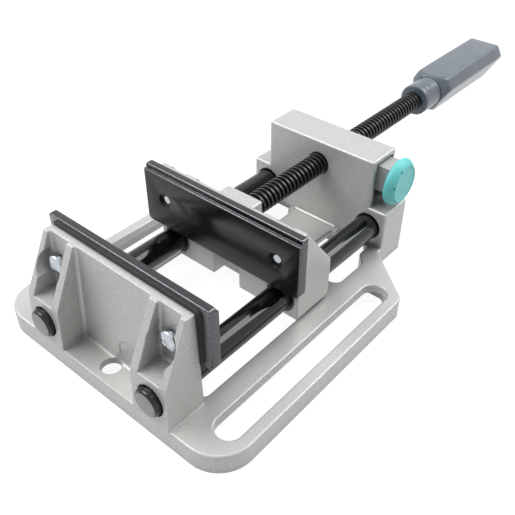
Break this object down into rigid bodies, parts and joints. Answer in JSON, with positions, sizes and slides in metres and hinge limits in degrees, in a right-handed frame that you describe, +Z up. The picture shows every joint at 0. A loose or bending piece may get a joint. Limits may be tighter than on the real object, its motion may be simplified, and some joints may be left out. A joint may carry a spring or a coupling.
{
  "type": "drill press vise",
  "caption": "Quick-release vise for a drill press: slotted cast base, jaw sliding on guide rods, trapezoidal spindle with a grip, and a push button that frees the half nut.",
  "frame": {"origin": "on the plane of the underside, midway between the two table slots", "axes": "+X along the jaws toward the release button, +Y along the spindle from the fixed jaw to the grip, +Z up"},
  "size_m": [0.151, 0.36, 0.0644],
  "materials": {
    "cast_alloy": "die-cast, blasted and silver-grey, with fine speckle",
    "black_rod": "polished steel rod, gloss black",
    "black_plate": "machined steel bar, satin black",
    "black_spindle": "trapezoidal steel thread, gloss black",
    "black_screw": "black-oxide steel",
    "jaw_backing": "textured dark layer, matte",
    "zinc_screw": "bright zinc-plated steel",
    "spring_steel": "drawn spring steel",
    "bush_plastic": "dark bearing plastic",
    "brass_washer": "turned brass",
    "zinc_casting": "zinc die-casting, matt grey",
    "grip_plastic": "moulded grey-blue plastic, satin",
    "button_plastic": "moulded turquoise plastic, satin gloss"
  },
  "bodies": {
    "base": {"base_casting": "cast_alloy", "guide_rod_left": "black_rod", "guide_rod_right": "black_rod", "rod_grub_screws": "black_screw", "fixed_jaw_backing": "jaw_backing", "fixed_jaw_plate": "black_plate", "fixed_jaw_screws": "zinc_screw", "fixed_jaw_washers": "zinc_screw", "slider_stop_pin": "spring_steel", "release_spring": "spring_steel"},
    "carriage": {"moving_carriage": "cast_alloy", "moving_jaw_plate": "black_plate", "moving_jaw_screws": "zinc_screw", "moving_jaw_washers": "zinc_screw", "rod_bush_left": "bush_plastic", "rod_bush_right": "bush_plastic"},
    "spindle": {"lead_screw": "black_spindle", "spindle_thrust_washer": "brass_washer", "spindle_retaining_ring": "spring_steel", "handle": "grip_plastic", "handle_pin": "spring_steel"},
    "release": {"half_nut_slider": "zinc_casting", "release_button": "button_plastic"}
  },
  "joints": [
    {"name": "jaw_slide", "type": "slide", "parent": "base", "child": "carriage", "axis": [0, 1, 0], "range_m": [-0.0508, 0.049]},
    {"name": "spindle_turn", "type": "hinge", "parent": "carriage", "child": "spindle", "pos_m": [0, 0.18935, 0.0476], "axis": [0, 1, 0], "range_deg": [-6100, 5890]},
    {"name": "button_press", "type": "slide", "parent": "base", "child": "release", "axis": [1, 0, 0], "range_m": [-0.004, 0], "stiffness_N_per_m": 1500, "springref_m": 0.004, "deforming": ["release_spring"]}
  ],
  "couplings": [
    {"joint": "spindle_turn", "follows": "jaw_slide", "rad_per_m": 2094.4}
  ]
}
